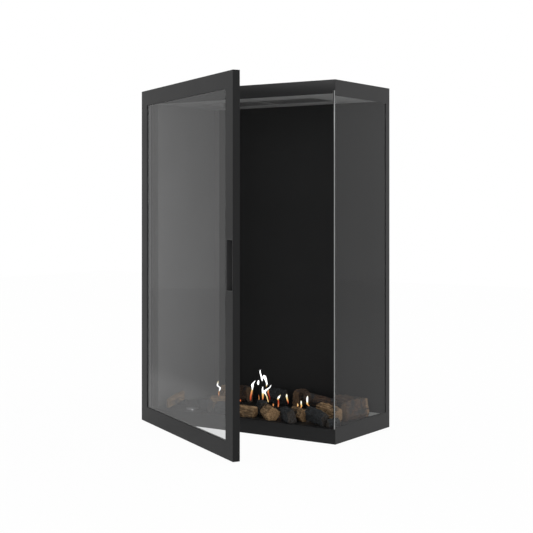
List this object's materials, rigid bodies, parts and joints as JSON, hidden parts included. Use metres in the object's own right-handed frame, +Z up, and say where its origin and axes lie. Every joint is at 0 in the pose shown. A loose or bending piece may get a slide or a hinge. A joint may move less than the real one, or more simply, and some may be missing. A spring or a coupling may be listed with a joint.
{
  "type": "bioethanol corner fireplace",
  "caption": "Tall black steel bioethanol fireplace, glazed at the front and one side, with a hinged glass door and ceramic logs round its burner.",
  "frame": {"origin": "middle of the cabinet's underside, on the floor", "axes": "+X to the right along the front, towards the glazed side; +Y to the back; +Z up"},
  "size_m": [0.6725, 0.6596, 1],
  "materials": {
    "cabinet_steel": "black powder coat, satin",
    "chamber_steel": "black heat-proof paint, matt",
    "liner_steel": "dark grey heat-proof paint, matt",
    "ceiling_steel": "grey heat-proof paint, satin",
    "back_wall_steel": "black heat-proof paint, satin",
    "door_steel": "black powder coat, satin",
    "side_glass": "clear, polished edges",
    "door_glass": "lightly tinted",
    "seal": "matt",
    "bumper": "matt",
    "bead": "black paint, matt",
    "pull": "black powder coat, satin",
    "burner_steel": "bare stainless sheet",
    "bed_plate": "black heat-proof paint, matt",
    "deflector_steel": "zinc-coated sheet",
    "wool": "fibrous felt, darkened by soot",
    "cap": "polished",
    "knob": "black, satin",
    "magnet": "nickel plated",
    "hinge_steel": "satin",
    "screw_steel": "zinc plated",
    "log_pale": "painted as bare wood, matt",
    "log_charred": "painted as charred wood, matt",
    "log_brown": "painted as brown wood, matt"
  },
  "bodies": {
    "cabinet": {"base_tray": "cabinet_steel", "floor_plate": "chamber_steel", "top_casing": "cabinet_steel", "ceiling_plate": "ceiling_steel", "heat_deflector": "deflector_steel", "back_panel": "cabinet_steel", "back_liner": "back_wall_steel", "liner_standoffs": "screw_steel", "left_casing": "cabinet_steel", "left_liner": "liner_steel", "liner_corner": "liner_steel", "side_glass": "side_glass", "side_glass_seal": "seal", "glass_rail_bottom": "chamber_steel", "glass_rail_top": "chamber_steel", "catch_magnets": "magnet", "fuel_tank": "burner_steel", "tank_lid": "burner_steel", "wool_pad": "wool", "burner_top": "bed_plate", "filler_neck": "burner_steel", "hinge_upper_fixed_leaf": "hinge_steel", "hinge_lower_fixed_leaf": "hinge_steel", "hinge_pins": "hinge_steel", "hinge_fixed_screws": "screw_steel", "log_01": "log_pale", "log_02": "log_charred", "log_03": "log_pale", "log_04": "log_charred", "log_05": "log_pale", "log_06": "log_charred", "log_07": "log_pale", "log_08": "log_brown", "log_09": "log_charred", "log_10": "log_brown", "log_11": "log_charred", "log_12": "log_brown", "log_13": "log_brown", "log_14": "log_brown", "log_15": "log_pale", "log_16": "log_charred", "log_17": "log_charred", "log_18": "log_charred", "log_19": "log_pale", "log_20": "log_charred", "log_21": "log_pale"},
    "door": {"door_hinge_stile": "door_steel", "door_handle_stile": "door_steel", "door_top_rail": "door_steel", "door_bottom_rail": "door_steel", "door_glass": "door_glass", "glazing_beads": "bead", "finger_pull": "pull", "door_bumpers": "bumper", "hinge_upper_door_leaf": "hinge_steel", "hinge_lower_door_leaf": "hinge_steel", "hinge_door_screws": "screw_steel"},
    "shutter": {"flame_shutter": "burner_steel", "shutter_knob": "knob"},
    "cap": {"fill_cap": "cap"}
  },
  "joints": [
    {"name": "door_hinge", "type": "hinge", "parent": "cabinet", "child": "door", "pos_m": [-0.3285, -0.1605, 0.5], "axis": [0, 0, -1], "range_deg": [-29.7, 65.3]},
    {"name": "shutter_slide", "type": "slide", "parent": "cabinet", "child": "shutter", "axis": [0, -1, 0], "range_m": [0, 0.052]},
    {"name": "cap_lift", "type": "slide", "parent": "cabinet", "child": "cap", "axis": [0, 0, 1], "range_m": [0, 0.06]}
  ]
}
